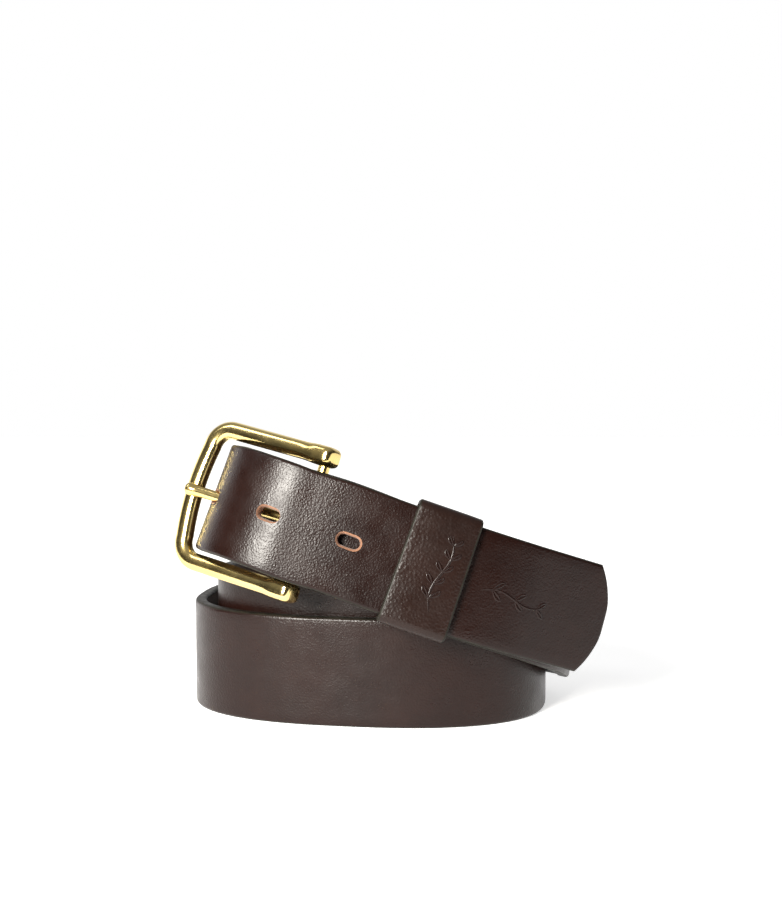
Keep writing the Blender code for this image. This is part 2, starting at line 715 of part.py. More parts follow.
def main_model():
    clear_scene()
    group, cutters = collection("leather_belt"), collection("cutters")
    leather = material("dark brown leather", (0.055, 0.024, 0.018), 0.45)
    brass = material("polished brass", (0.76, 0.58, 0.25), 0.18, 1.0)
    steel = material("steel wire", (0.55, 0.55, 0.55), 0.3, 1.0)

    main = main_route()
    buckle = buckle_placement(main)
    (x0, z0), (x1, z1) = prong_start(), prong_rest()
    start = buckle @ Vector((x0, 0, z0))
    heading = (buckle @ Vector((x1, 0, z1)) - start).normalized()
    keeper = main.matrix(KEEPER_CENTRE)

    make_strap(group, cutters, leather, main, (start, heading))
    make_frame(group, cutters, brass, buckle)
    make_heel_bar(group, brass, buckle)
    make_prong(group, cutters, brass, buckle)
    make_keeper(group, cutters, leather, main, keeper)
    make_staple(group, steel, keeper)
    number = 0
    for along in SCREW_ROWS:
        for side in (1, -1):
            number += 1
            make_binding_screw(group, cutters, brass, main, along, side, number)

    root = bpy.data.objects.new("belt_origin", None)
    group.objects.link(root)
    for obj in list(group.objects) + list(cutters.objects):
        if obj is not root:
            obj.parent = root
    centre_on_origin(root)


main_model()
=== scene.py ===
"""The belt's looks: grained leather with burnished edges, a polished brass buckle, and its studio."""

import math

import bmesh
import bpy
import numpy as np
from mathutils import Matrix, Vector


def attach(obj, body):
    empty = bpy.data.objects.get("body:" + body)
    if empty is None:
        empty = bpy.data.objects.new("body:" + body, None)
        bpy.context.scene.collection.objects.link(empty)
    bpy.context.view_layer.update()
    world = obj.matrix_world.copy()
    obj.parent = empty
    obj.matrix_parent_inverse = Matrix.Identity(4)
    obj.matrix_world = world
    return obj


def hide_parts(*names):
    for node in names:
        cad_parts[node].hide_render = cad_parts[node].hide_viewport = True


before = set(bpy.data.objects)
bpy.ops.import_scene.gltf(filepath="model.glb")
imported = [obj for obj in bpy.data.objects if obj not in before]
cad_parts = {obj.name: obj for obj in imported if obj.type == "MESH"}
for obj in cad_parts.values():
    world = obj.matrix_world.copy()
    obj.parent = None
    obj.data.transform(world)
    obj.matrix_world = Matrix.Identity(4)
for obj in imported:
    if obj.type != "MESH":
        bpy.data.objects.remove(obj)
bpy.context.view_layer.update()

MM = 0.001
STRAP_WIDTH = 38.0 * MM
STRAP_THICKNESS = 4.2 * MM
LAYER_GAP = 0.5 * MM
TIP_STRAIGHT = 32.0 * MM
TIP_ARC_RADIUS = 29.0 * MM
TURN_BACK_LENGTH = 80.0 * MM
COIL_LENGTH, COIL_DEPTH, COIL_SQUARENESS = 124.0 * MM, 86.0 * MM, 2.35
COIL_YAW = math.radians(-11.0)
HOLE_LENGTH, HOLE_HEIGHT = 10.0 * MM, 4.8 * MM
BAR_WIDTH, BAR_THICKNESS = 6.2 * MM, 5.4 * MM
BUCKLE_SIDE_GAP = 1.6 * MM
BUCKLE_REACH = 45.5 * MM
BUCKLE_CORNER = 7.5 * MM
BUCKLE_BOW = 1.6 * MM
BUCKLE_LIFT = 0.9 * MM
BUCKLE_RISE = 2.5 * MM
BUCKLE_SWING = math.radians(25.0)
LUG_LENGTH, LUG_BACK, LUG_PROUD = 8.0 * MM, 3.6 * MM, 0.35 * MM
HEEL_BAR_RADIUS = 2.0 * MM
PIECE_GAP = 0.3 * MM
PRONG_WIDTH, PRONG_THICKNESS = 3.7 * MM, 3.0 * MM
PRONG_EYE_WALL, PRONG_EYE_WIDTH = 2.0 * MM, 5.6 * MM
PRONG_TIP_WIDTH = 4.5 * MM
PRONG_OVERHANG = -2.4 * MM
PRONG_SLOT_GAP, PRONG_SLOT_REACH = 0.5 * MM, 10.0 * MM
KEEPER_WIDTH, KEEPER_THICKNESS, KEEPER_FIT = 21.5 * MM, 2.0 * MM, 0.6 * MM
KEEPER_CENTRE = 44.0 * MM
KEEPER_TRAVEL, KEEPER_SEAM, KEEPER_CROWN = 1.5 * MM, 0.4 * MM, 0.35 * MM
SCREW_ROWS, SCREW_OFFSET = (17.0 * MM, 71.5 * MM), 11.0 * MM
SCREW_HEAD_RADIUS, SCREW_RECESS, BARREL_RADIUS = 4.0 * MM, 1.5 * MM, 2.5 * MM

PITCH = STRAP_THICKNESS + LAYER_GAP
POCKET = KEEPER_THICKNESS + KEEPER_FIT
FOLD_SPREAD = 2 * HEEL_BAR_RADIUS + 2 * PIECE_GAP + STRAP_THICKNESS
ORIGIN = np.array([-7.2001, 8.5608, 0.0]) * MM  # where the coil's own centre stands
HOLE_DISTANCE, HOLE_PITCH = 979.683, 28.0  # mm, from the heel bar to the used hole, and between holes
USED_HOLE = 2
HOLES = tuple((HOLE_DISTANCE + HOLE_PITCH * (i - USED_HOLE)) * MM for i in range(5))
HOLE_NARROWER, HOLE_SHORTER = 0.5 * MM, 1.3 * MM  # how much less the holes that aren't used take
EDGE_ROUND = 1.2 * MM  # of the strap's dressed edges
OVERLAP_TURNS = 1080  # degrees round the coil from the front's stations to the tip's
PAST_FACE = 0.24 * MM  # how far a cutter stands out of the face it opens
CAMERA_LENS, CAMERA_TILT = 72.68, 5.032  # mm, and degrees downwards
CAMERA_RIGHT, CAMERA_FRONT, CAMERA_HEIGHT = 7.4 * MM, -0.6498, 0.1498

# Angle round the coil, layers and keeper pockets outside the lowest turn, height in strap widths, lean
# to the right and to the back in degrees: the same route as the CAD model's.
FRONT = (
    (-103, 3.25, 0.0, 1.870, 20, 8),
    (-87, 2.60, 0.6, 1.765, 20, 8),
    (-68, 2.05, 1.0, 1.600, 20, 9),
    (-49, 2.00, 1.0, 1.415, 19, 10),
    (-36, 2.00, 1.0, 1.260, 18, 10),
    (-28, 2.10, 1.0, 1.155, 17, 10),
)
COIL = (
    (-14, 2.25, 0.9, 0.960, 14, 8),
    (0, 2.25, 0.5, 0.800, 12, 6),
    (16, 2.25, 0.3, 0.700, 10, 4),
    (39, 2.05, 0.1, 0.630, 8, 3),
    (90, 1.40, 0.0, 0.585, 4, 1),
    (149, 0.50, 0.0, 0.520, 1, 0),
    (180, 0.0, 0.0, 0.50, 0, 0),
    (215, 0.2, 0.0, 0.50, 0, 0),
    (270, 0.0, 0.0, 0.50, 0, 0),
    (360, 0.0, 0.0, 0.50, 0, 0),
    (395, -0.2, 0.0, 0.55, 0, 0),
    (450, -0.6, 0.0, 0.62, 0, 0),
    (509, -1.3, 0.0, 0.72, 0, 0),
    (540, -1.8, 0.0, 0.79, 0, 0),
    (575, -1.4, 0.0, 0.80, 0, 0),
    (630, -1.2, 0.0, 0.79, 0, 0),
    (685, -1.2, 0.0, 0.79, 0, 0),
    (720, -1.40, 0.0, 0.82, 5, 2),
    (755, -2.20, 0.0, 0.98, 12, 5),
    (810, -3.30, 0.0, 1.32, 18, 7),
    (850, -4.10, 0.0, 1.57, 19, 8),
    (872, -4.35, 0.0, 1.70, 20, 8),
    (890, -4.20, 0.0, 1.80, 20, 8),
    (908, -3.60, 0.0, 1.89, 20, 8),
    (920, -2.80, 0.0, 1.95, 20, 8),
    (928, -1.75, 0.0, 1.99, 20, 8),
    (933.6, -0.40, 0.0, 2.02, 20, 8),
    (938, 1.00, 0.0, 2.045, 20, 8),
    (942.6, 2.25, 0.0, 2.065, 20, 8),
    (948, 3.25, 0.0, 2.07, 20, 8),
    (954, 3.95, 0.0, 2.06, 20, 8),
    (961, 4.35, 0.0, 2.02, 20, 8),
    (969, 4.45, 0.0, 1.96, 20, 8),
)


# ---------------------------------------------------------------- the route


def through(knots, values, at):
    step = np.diff(knots)
    slope = np.diff(values) / step
    tangent = np.empty(len(knots))
    tangent[0], tangent[-1] = slope[0], slope[-1]
    tangent[1:-1] = (slope[:-1] * step[1:] + slope[1:] * step[:-1]) / (step[:-1] + step[1:])
    i = np.clip(np.searchsorted(knots, at) - 1, 0, len(knots) - 2)
    t = (at - knots[i]) / step[i]
    return (
        (2 * t**3 - 3 * t**2 + 1) * values[i]
        + (t**3 - 2 * t**2 + t) * step[i] * tangent[i]
        + (3 * t**2 - 2 * t**3) * values[i + 1]
        + (t**3 - t**2) * step[i] * tangent[i + 1]
    )


def oval(angle, outside):
    a, b, p = COIL_LENGTH / 2, COIL_DEPTH / 2, COIL_SQUARENESS
    c, s = np.cos(angle), np.sin(angle)
    radius = ((np.abs(c) / a) ** p + (np.abs(s) / b) ** p) ** (-1 / p)
    x, y = radius * c, radius * s
    nx = np.sign(x) * np.abs(x) ** (p - 1) / a**p
    ny = np.sign(y) * np.abs(y) ** (p - 1) / b**p
    size = np.hypot(nx, ny)
    x, y = x + outside * nx / size, y + outside * ny / size
    return x * math.cos(COIL_YAW) - y * math.sin(COIL_YAW), x * math.sin(COIL_YAW) + y * math.cos(COIL_YAW)


class Route:
    """Points along the strap's middle with its directions: along, across (up its width) and out."""

    def __init__(self, points, lean):
        self.points = points
        along = np.gradient(points, axis=0)
        self.along = along / np.linalg.norm(along, axis=1, keepdims=True)
        across = lean - (lean * self.along).sum(1, keepdims=True) * self.along
        self.across = across / np.linalg.norm(across, axis=1, keepdims=True)
        self.out = np.cross(self.along, self.across)
        steps = np.linalg.norm(np.diff(points, axis=0), axis=1)
        self.distance = np.concatenate([[0.0], np.cumsum(steps)])
        self.length = self.distance[-1]

    def at(self, distance):
        read = [
            np.stack([np.interp(distance, self.distance, v[:, k]) for k in range(3)], -1)
            for v in (self.points, self.along, self.across, self.out)
        ]
        return [read[0]] + [v / np.linalg.norm(v, axis=-1, keepdims=True) for v in read[1:]]

    def on(self, distance, across, out):
        """Points that far along, across and out of the strap's middle."""
        point, _, up, outward = self.at(np.asarray(distance, float))
        return point + up * np.asarray(across)[..., None] + outward * np.asarray(out)[..., None]

    def matrix(self, distance, out=0.0, across=0.0):
        point, x, y, z = (Vector(v) for v in self.at(distance))
        placed = Matrix((x, y, z)).transposed().to_4x4()
        placed.translation = point + z * out + y * across
        return placed


def main_route():
    step = PITCH / STRAP_WIDTH
    tip_side = tuple(
        (angle + OVERLAP_TURNS, lanes + 1, pockets, rise + step * math.sin(math.radians(back)), right, back)
        for angle, lanes, pockets, rise, right, back in FRONT
    )
    table = np.array(FRONT + COIL + tip_side, float)
    angle = np.arange(table[0, 0], table[-1, 0], 0.25)
    lanes, pockets, rise, right, back = (through(table[:, 0], table[:, k], angle) for k in range(1, 6))
    x, y = oval(np.radians(angle), lanes * PITCH + pockets * POCKET)
    points = np.stack([x, y, np.maximum(rise, 0.5) * STRAP_WIDTH], 1)
    lean = np.stack([np.tan(np.radians(right)), np.tan(np.radians(back)), np.ones(len(angle))], 1)
    heading = points[-1] - points[-2]
    heading /= np.linalg.norm(heading)
    beyond = np.arange(0.5 * MM, TIP_STRAIGHT, 0.5 * MM)
    points = np.vstack([points, points[-1] + heading * beyond[:, None]])
    lean = np.vstack([lean, np.repeat(lean[-1:], len(beyond), axis=0)])
    return Route(points + ORIGIN, lean)


def ease(value):
    value = np.clip(value, 0.0, 1.0)
    return value * value * (3 - 2 * value)


def layer_spread(distance):
    near = FOLD_SPREAD - PITCH
    closing = SCREW_ROWS[0] - SCREW_HEAD_RADIUS
    half = KEEPER_WIDTH / 2 + KEEPER_TRAVEL
    ramp = (SCREW_ROWS[1] - SCREW_ROWS[0] - 2 * SCREW_HEAD_RADIUS) / 2 - half
    pocket = ease((half + ramp - np.abs(distance - KEEPER_CENTRE)) / ramp)
    return PITCH + near * (1 - ease(distance / closing)) + POCKET * pocket


def fold(main):
    distance = np.arange(TURN_BACK_LENGTH, 0.0, -0.5 * MM)
    point, _, across, out = main.at(distance)
    back = point - out * layer_spread(distance)[:, None]
    point, along, up, out = (v[0] for v in main.at(np.array([0.0])))
    centre = point - out * FOLD_SPREAD / 2
    turn = np.radians(np.arange(0.0, 180.0, 6.0))[:, None]
    bend = centre - (out * np.cos(turn) + along * np.sin(turn)) * FOLD_SPREAD / 2
    return np.vstack([back, bend]), np.vstack([across, np.repeat(up[None], len(bend), axis=0)]), centre


MAIN = main_route()
FOLD_POINTS, FOLD_LEAN, FOLD_CENTRE = fold(MAIN)
WHOLE = Route(np.vstack([FOLD_POINTS, MAIN.points]), np.vstack([FOLD_LEAN, MAIN.across]))


def buckle_placement():
    _, along, across, out = (Vector(v[0]) for v in MAIN.at(np.array([0.0])))
    placed = Matrix((-along, -across, out)).transposed().to_4x4()
    placed.translation = Vector(FOLD_CENTRE) + across * BUCKLE_LIFT
    return placed @ Matrix.Rotation(BUCKLE_SWING, 4, "Y")


BUCKLE = buckle_placement()


# ---------------------------------------------------------------- materials


class Nodes:
    """A short way to wire up a procedural material."""

    def __init__(self, name):
        self.material = bpy.data.materials.new(name)
        self.material.use_nodes = True
        self.tree = self.material.node_tree
        self.surface = self.tree.nodes["Principled BSDF"]
        self.coordinates = self.add("ShaderNodeTexCoord").outputs["Object"]

    def add(self, kind, **settings):
        node = self.tree.nodes.new(kind)
        for key, value in settings.items():
            setattr(node, key, value)
        return node

    def link(self, source, target):
        self.tree.links.new(source, target)

    def noise(self, scale, detail=2.0, roughness=0.5, where=None, distortion=0.0):
        node = self.add("ShaderNodeTexNoise")
        node.inputs["Scale"].default_value = scale
        node.inputs["Detail"].default_value = detail
        node.inputs["Roughness"].default_value = roughness
        node.inputs["Distortion"].default_value = distortion
        self.link(where or self.coordinates, node.inputs["Vector"])
        return node.outputs["Fac"]

    def cells(self, scale, feature="F1", randomness=1.0):
        node = self.add("ShaderNodeTexVoronoi", feature=feature)
        node.inputs["Scale"].default_value = scale
        node.inputs["Randomness"].default_value = randomness
        self.link(self.coordinates, node.inputs["Vector"])
        return node.outputs["Distance"]

    def spread(self, value, low, high, start=0.0, end=1.0):
        node = self.add("ShaderNodeMapRange")
        for key, number in zip(("From Min", "From Max", "To Min", "To Max"), (low, high, start, end)):
            node.inputs[key].default_value = number
        self.link(value, node.inputs["Value"])
        return node.outputs["Result"]

    def ramp(self, value, *stops):
        node = self.add("ShaderNodeValToRGB")
        elements = node.color_ramp.elements
        while len(elements) < len(stops):
            elements.new(0.5)
        for element, (place, colour) in zip(elements, stops):
            element.position, element.color = place, (*colour, 1.0)
        self.link(value, node.inputs["Fac"])
        return node.outputs["Color"]

    def bump(self, height, distance, strength=1.0, under=None):
        node = self.add("ShaderNodeBump")
        node.inputs["Strength"].default_value = strength
        node.inputs["Distance"].default_value = distance
        self.link(height, node.inputs["Height"])
        if under is not None:
            self.link(under, node.inputs["Normal"])
        return node.outputs["Normal"]

    def set(self, **values):
        for key, value in values.items():
            self.surface.inputs[key.replace("_", " ")].default_value = value


def leather(name, dark, light, grain, cell, shine):
    m = Nodes(name)
    cloud = m.noise(45.0, 4.0, 0.6)
    m.link(m.ramp(cloud, (0.3, dark), (0.7, light)), m.surface.inputs["Base Color"])
    m.link(m.spread(m.noise(160.0, 3.0), 0.3, 0.7, shine - 0.05, shine + 0.07), m.surface.inputs["Roughness"])
    pebble = m.bump(m.cells(cell, "SMOOTH_F1", 1.0), 0.00016, 0.5 * grain)
    creased = m.bump(m.noise(cell * 1.6, 3.0, 0.6, distortion=0.3), 0.00005, 0.4 * grain, under=pebble)
    m.link(creased, m.surface.inputs["Normal"])
    m.set(Specular_IOR_Level=0.27)
    return m.material


def burnished(name, dark, light):
    m = Nodes(name)
    m.link(m.ramp(m.noise(220.0, 5.0, 0.6), (0.3, dark), (0.75, light)), m.surface.inputs["Base Color"])
    m.link(m.spread(m.noise(500.0, 2.0), 0.3, 0.7, 0.36, 0.55), m.surface.inputs["Roughness"])
    m.link(m.bump(m.noise(700.0, 4.0, 0.6), 0.00012, 0.7), m.surface.inputs["Normal"])
    m.set(Specular_IOR_Level=0.16)
    return m.material


def suede(name, dark, light):
    m = Nodes(name)
    m.link(m.ramp(m.noise(420.0, 6.0, 0.7), (0.3, dark), (0.7, light)), m.surface.inputs["Base Color"])
    m.link(m.bump(m.noise(1500.0, 5.0, 0.7), 0.00014, 0.8), m.surface.inputs["Normal"])
    m.set(Roughness=0.85, Sheen_Weight=0.15, Sheen_Roughness=0.5)
    return m.material


def brass(name, colour, shade, roughness):
    m = Nodes(name)
    m.link(m.ramp(m.noise(35.0, 3.0, 0.5), (0.35, shade), (0.65, colour)), m.surface.inputs["Base Color"])
    handled = m.spread(m.noise(90.0, 4.0, 0.7), 0.3, 0.7, roughness * 0.8, roughness * 1.4)
    m.link(handled, m.surface.inputs["Roughness"])
    m.link(m.bump(m.noise(55.0, 1.0), 0.00010, 0.05), m.surface.inputs["Normal"])
    m.set(Metallic=1.0)
    return m.material


GRAIN = leather("strap_leather", (0.0070, 0.0020, 0.0013), (0.0116, 0.0036, 0.0023), 1.0, 1700.0, 0.31)
KEEPER_GRAIN = leather("keeper_leather", (0.0100, 0.0044, 0.0032), (0.0155, 0.0068, 0.005), 1.5, 1200.0, 0.33)
TOOLED = leather("tooled_leather", (0.008, 0.0032, 0.0024), (0.013, 0.0052, 0.004), 0.4, 1300.0, 0.26)
EDGE = burnished("burnished_edge", (0.007, 0.006, 0.004), (0.021, 0.018, 0.013))
RAW = suede("raw_leather", (0.16, 0.070, 0.035), (0.32, 0.150, 0.080))
FLESH = suede("flesh_side", (0.045, 0.022, 0.014), (0.085, 0.045, 0.030))
BRASS = brass("polished_brass", (0.87, 0.68, 0.29), (0.79, 0.60, 0.23), 0.16)
SCREW_BRASS = brass("turned_brass", (0.74, 0.57, 0.25), (0.62, 0.46, 0.19), 0.24)


def wire_steel():
    m = Nodes("drawn_wire")
    drawn = m.ramp(m.noise(300.0, 3.0), (0.3, (0.42, 0.42, 0.43)), (0.7, (0.62, 0.62, 0.61)))
    m.link(drawn, m.surface.inputs["Base Color"])
    m.link(m.bump(m.noise(1200.0, 2.0), 0.00002, 0.5), m.surface.inputs["Normal"])
    m.set(Metallic=1.0, Roughness=0.32)
    return m.material


# ---------------------------------------------------------------- mesh helpers


def grid_faces(rows, count):
    """Quads over closed rows of equally many points."""
    i = np.arange(rows - 1)[:, None] * count
    j = np.arange(count)[None]
    k = (j + 1) % count
    return np.stack([i + j, i + k, i + count + k, i + count + j], -1).reshape(-1, 4)


def closed_faces(rows, count):
    """Quads over closed rows of points, with a flat face over the first row and the last."""
    ends = [list(range(count)), list(range((rows - 1) * count, rows * count))]
    return grid_faces(rows, count).tolist() + ends


def turned(levels, count):
    """Points round the axis, ring by ring, for (place on the axis, radius) levels."""
    turns = [math.tau * i / count for i in range(count)]
    return [(r * math.cos(turn), r * math.sin(turn), z) for z, r in levels for turn in turns]


def piece(name, points, faces, materials, indices=None, sharp=40.0):
    mesh = bpy.data.meshes.new(name)
    mesh.from_pydata(np.asarray(points).reshape(-1, 3).tolist(), [], [list(map(int, f)) for f in faces])
    for m in materials:
        mesh.materials.append(m)
    if indices is not None:
        mesh.polygons.foreach_set("material_index", np.asarray(indices, np.int32))
    bm = bmesh.new()
    bm.from_mesh(mesh)
    bmesh.ops.recalc_face_normals(bm, faces=bm.faces)
    bm.to_mesh(mesh)
    bm.free()
    obj = bpy.data.objects.new(name, mesh)
    bpy.context.scene.collection.objects.link(obj)
    smooth(obj, sharp)
    return obj


def smooth(obj, sharp=40.0):
    obj.data.shade_smooth()
    obj.data.set_sharp_from_angle(angle=math.radians(sharp))


def combine(obj, others, operation):
    """Cuts others from obj, or joins them to it, for good. A cut face keeps the cutter's material."""
    for other in others:
        change = obj.modifiers.new("join", "BOOLEAN")
        change.operation, change.solver, change.object = operation, "EXACT", other
        change.material_mode = "TRANSFER"
    bpy.context.view_layer.update()
    made = bpy.data.meshes.new_from_object(obj.evaluated_get(bpy.context.evaluated_depsgraph_get()))
    obj.modifiers.clear()
    old = obj.data
    obj.data = made
    made.name = old.name
    bpy.data.meshes.remove(old)
    for other in others:
        bpy.data.objects.remove(other)


def flared_slot(name, length, height, levels, material, placed, segments=10):
    """A cutter with round ends whose outline grows by each level's flare: length along X, height along Y."""
    rings = []
    for z, flare in levels:
        radius, reach = height / 2 + flare, (length - height) / 2
        for end in (1, -1):
            for i in range(segments + 1):
                angle = math.pi * (i / segments - 0.5)
                rings.append((end * (reach + radius * math.cos(angle)), end * radius * math.sin(angle), z))
    made = piece(name, rings, closed_faces(len(levels), 2 * (segments + 1)), [material])
    made.matrix_world = placed
    return made


# ---------------------------------------------------------------- leather


FLAT_POINTS, CORNER_POINTS = 13, 5


def section(half, thickness):
    """The strap's outline as (across, out) points: front face, upper edge, back face, lower edge."""
    t = thickness / 2
    round_in = min(EDGE_ROUND, half * 0.6)
    deep = min(round_in, t * 0.95)
    turns = np.radians(90 - 90 * np.arange(1, CORNER_POINTS + 1) / CORNER_POINTS)
    flat = np.linspace(-half + round_in, half - round_in, FLAT_POINTS)
    front = np.stack([flat, np.full(FLAT_POINTS, t)], 1)
    corner = np.stack([half - round_in + round_in * np.cos(turns), t - deep + deep * np.sin(turns)], 1)
    upper = np.concatenate([front, corner, corner[::-1] * (1, -1)])
    return np.concatenate([upper, -upper])


def section_kinds():
    """Which material each face round the outline takes: grain, burnished edge or flesh side."""
    kinds = np.full(2 * FLAT_POINTS + 4 * CORNER_POINTS, 1)
    kinds[: FLAT_POINTS + 1] = 0
    kinds[-2:] = 0
    back = FLAT_POINTS + 2 * CORNER_POINTS
    kinds[back : back + FLAT_POINTS - 1] = 2
    return kinds


def strap_rings():
    half = STRAP_WIDTH / 2
    tip_run = TIP_ARC_RADIUS - math.sqrt(TIP_ARC_RADIUS**2 - half**2)
    bend = np.linalg.norm(np.diff(WHOLE.along, axis=0), axis=1)
    weight = np.maximum(np.diff(WHOLE.distance) / (1.6 * MM), bend / math.radians(2.5))
    filled = np.concatenate([[0.0], np.cumsum(weight)])
    body = np.interp(np.linspace(0, filled[-1], math.ceil(filled[-1])), filled, WHOLE.distance)
    tip = WHOLE.length - tip_run * (1 - np.sin(np.radians(np.arange(0, 90, 5.0))))
    start = np.array([0.0, 0.25, 0.6, 1.1]) * MM
    return np.concatenate([start, body[(body > 1.4 * MM) & (body < tip[0] - 0.8 * MM)], tip]), tip_run


def make_strap():
    places, tip_run = strap_rings()
    half = STRAP_WIDTH / 2
    rows = []
    for distance in places:
        from_end = max(WHOLE.length - distance, 0.0)
        reach = TIP_ARC_RADIUS - min(from_end, tip_run)
        width = min(math.sqrt(max(TIP_ARC_RADIUS**2 - reach**2, (2 * MM) ** 2)), half)
        near = min(1.0, from_end / (1.2 * MM), (distance + 0.12 * MM) / (0.7 * MM))
        thick = STRAP_THICKNESS * (0.45 + 0.55 * math.sqrt(1 - (1 - near) ** 2))
        outline = section(width, thick)
        rows.append(WHOLE.on(np.full(len(outline), distance), outline[:, 0], outline[:, 1]))
    faces = closed_faces(len(rows), len(rows[0]))
    indices = np.concatenate([np.tile(section_kinds(), len(rows) - 1), [3, 1]])
    strap = piece("strap_leather", np.concatenate(rows), faces, [GRAIN, EDGE, FLESH, RAW], indices)

    t = STRAP_THICKNESS / 2
    cutters = []
    for i, distance in enumerate(HOLES):
        narrow, shorter = (0.0, 0.0) if i == USED_HOLE else (HOLE_NARROWER, HOLE_SHORTER)
        below = t + (PAST_FACE if i > USED_HOLE else 0.9 * MM)
        levels = ((-below, 0.3 * MM - narrow), (-t + 0.4 * MM, -narrow), (t - 1.9 * MM, -narrow))
        levels += ((t - 0.9 * MM, -0.6 * narrow), (t - 0.3 * MM, 0))
        levels += ((t - 0.05 * MM, 0.26 * MM), (t + 0.3 * MM, 0.7 * MM))
        placed = MAIN.matrix(distance)
        cutters.append(flared_slot(f"hole_{i}", HOLE_LENGTH - shorter, HOLE_HEIGHT, levels, RAW, placed))
    height = PRONG_EYE_WIDTH + 2 * PRONG_SLOT_GAP
    deep = FOLD_SPREAD / 2 + t + LAYER_GAP / 2
    placed = MAIN.matrix(0.0, out=-FOLD_SPREAD / 2, across=BUCKLE_LIFT)
    cutters.append(flared_slot("slot", 2 * PRONG_SLOT_REACH, height, ((-deep, 0), (deep, 0)), RAW, placed))
    for along in SCREW_ROWS:
        spread = float(layer_spread(np.array([along]))[0])
        for side in (-1, 1):
            placed = MAIN.matrix(along, across=side * SCREW_OFFSET)
            head, barrel = SCREW_HEAD_RADIUS + PIECE_GAP, BARREL_RADIUS + PIECE_GAP
            levels = [(-spread - t - PAST_FACE, head), (-spread - t + SCREW_RECESS, head)]
            levels += [(-spread - t + SCREW_RECESS, barrel), (t - SCREW_RECESS, barrel)]
            levels += [(t - SCREW_RECESS, head), (t + PAST_FACE, head)]
            cutters.append(round_cutter(levels, placed))
    combine(strap, cutters, "DIFFERENCE")
    smooth(strap, 38)
    return strap


def round_cutter(levels, placed, count=24):
    made = piece("bore", turned(levels, count), closed_faces(len(levels), count), [RAW])
    made.matrix_world = placed
    return made


def keeper_outline():
    """The keeper's inner loop as (across, out) with its outward directions, from seam to seam."""
    side = STRAP_WIDTH / 2 + KEEPER_FIT
    back = -STRAP_THICKNESS / 2 - KEEPER_FIT
    front = PITCH + STRAP_THICKNESS / 2 + KEEPER_FIT
    radius = 1.0 * MM
    half = [(a, back, 0.0, -1.0) for a in np.linspace(KEEPER_SEAM / 2, side - radius, 8)]
    for centre_out, start in ((back + radius, -90), (front - radius, 0)):
        for i in range(1, 9):
            turn = math.radians(start + 90 * i / 8)
            c, s = math.cos(turn), math.sin(turn)
            half.append((side - radius + radius * c, centre_out + radius * s, c, s))
    half += [(a, front, 0.0, 1.0) for a in np.linspace(side - radius, 0, 26)[1:]]
    return np.array(half + [(-a, o, -na, no) for a, o, na, no in reversed(half[:-1])])


def make_keeper():
    outline = keeper_outline()
    w, t, r = KEEPER_WIDTH / 2, KEEPER_THICKNESS, 0.75 * MM
    profile = [(s, t) for s in np.linspace(-w + r, w - r, 14)]
    for i in range(1, 5):
        turn = math.radians(90 - 22.5 * i)
        profile.append((w - r + r * math.cos(turn), t - r + r * math.sin(turn)))
    for i in range(0, 4):
        turn = math.radians(-30 * i)
        profile.append((w - 0.3 * MM + 0.3 * MM * math.cos(turn), 0.3 * MM + 0.3 * MM * math.sin(turn)))
    mirrored = [(-s, d) for s, d in reversed(profile[14:])]
    profile = profile + [(s, 0.0) for s in np.linspace(w - r, -w + r, 8)] + mirrored
    profile = np.array(profile)
    rows = []
    for a, o, na, no in outline:
        crown = KEEPER_CROWN * (1 - (profile[:, 0] / w) ** 2) * (profile[:, 1] / t) * abs(no)
        deep = profile[:, 1] + crown
        rows.append(MAIN.on(KEEPER_CENTRE + profile[:, 0], a + na * deep, o + no * deep))
    kinds = np.full(len(profile), 1)
    kinds[:13] = 0
    kinds[22:30] = 2
    indices = np.concatenate([np.tile(kinds, len(rows) - 1), [3, 3]])
    faces = closed_faces(len(rows), len(profile))
    return piece("keeper_leather", np.concatenate(rows), faces, [KEEPER_GRAIN, EDGE, FLESH, RAW], indices)


def tooled_line(line, route_at, half_width=0.50 * MM, height=0.30 * MM):
    """A raised line of tooling that follows the leather: line is (along, across) points."""
    line = np.asarray(line)
    heading = np.gradient(line, axis=0)
    heading /= np.linalg.norm(heading, axis=1, keepdims=True)
    side = np.stack([-heading[:, 1], heading[:, 0]], 1)
    profile = np.array([(-1, -1.4), (-1, -0.2), (-0.7, 0.6), (0, 1.0), (0.7, 0.6), (1, -0.2), (1, -1.4)])
    rows = []
    for i, (place, across) in enumerate(zip(line, side)):
        size = math.sin(math.pi * min(1.0, max(0.08, i / (len(line) - 1)))) ** 0.5
        size = max(size, 0.25)
        spots = place + across * (profile[:, :1] * half_width * size)
        rows.append(route_at(spots[:, 0], spots[:, 1], profile[:, 1] * height * max(size, 0.6)))
    return np.concatenate(rows), closed_faces(len(rows), len(profile))


def ornament(name, lines, route_at, body):
    points, faces = [], []
    for line in lines:
        made, quads = tooled_line(line, route_at)
        base = sum(map(len, points))
        faces += [[base + v for v in f] for f in quads]
        points.append(made)
    obj = piece(name, np.concatenate(points), faces, [TOOLED], sharp=80)
    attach(obj, body)
    return obj


def sprig(length, leaves, size):
    """A stem with pairs of leaves, as (along the stem, beside it) lines."""
    u = np.linspace(0, 1, 30)
    lines = [np.stack([length * u, 0.06 * length * np.sin(u * math.tau)], 1)]
    for i in range(leaves):
        at = length * (0.16 + 0.72 * i / (leaves - 1))
        for side in (1, -1):
            v = np.linspace(0, 1, 18)
            grow = size * (1 - 0.25 * i / leaves)
            root = np.array([at, 0.06 * length * math.sin(at / length * math.tau)])
            outer = np.stack([grow * v, side * grow * (0.75 * v + 0.28 * np.sin(v * math.pi))], 1)
            inner = np.stack([grow * v, side * grow * (0.75 * v - 0.10 * np.sin(v * math.pi))], 1)
            lines += [root + outer, root + inner]
    return lines


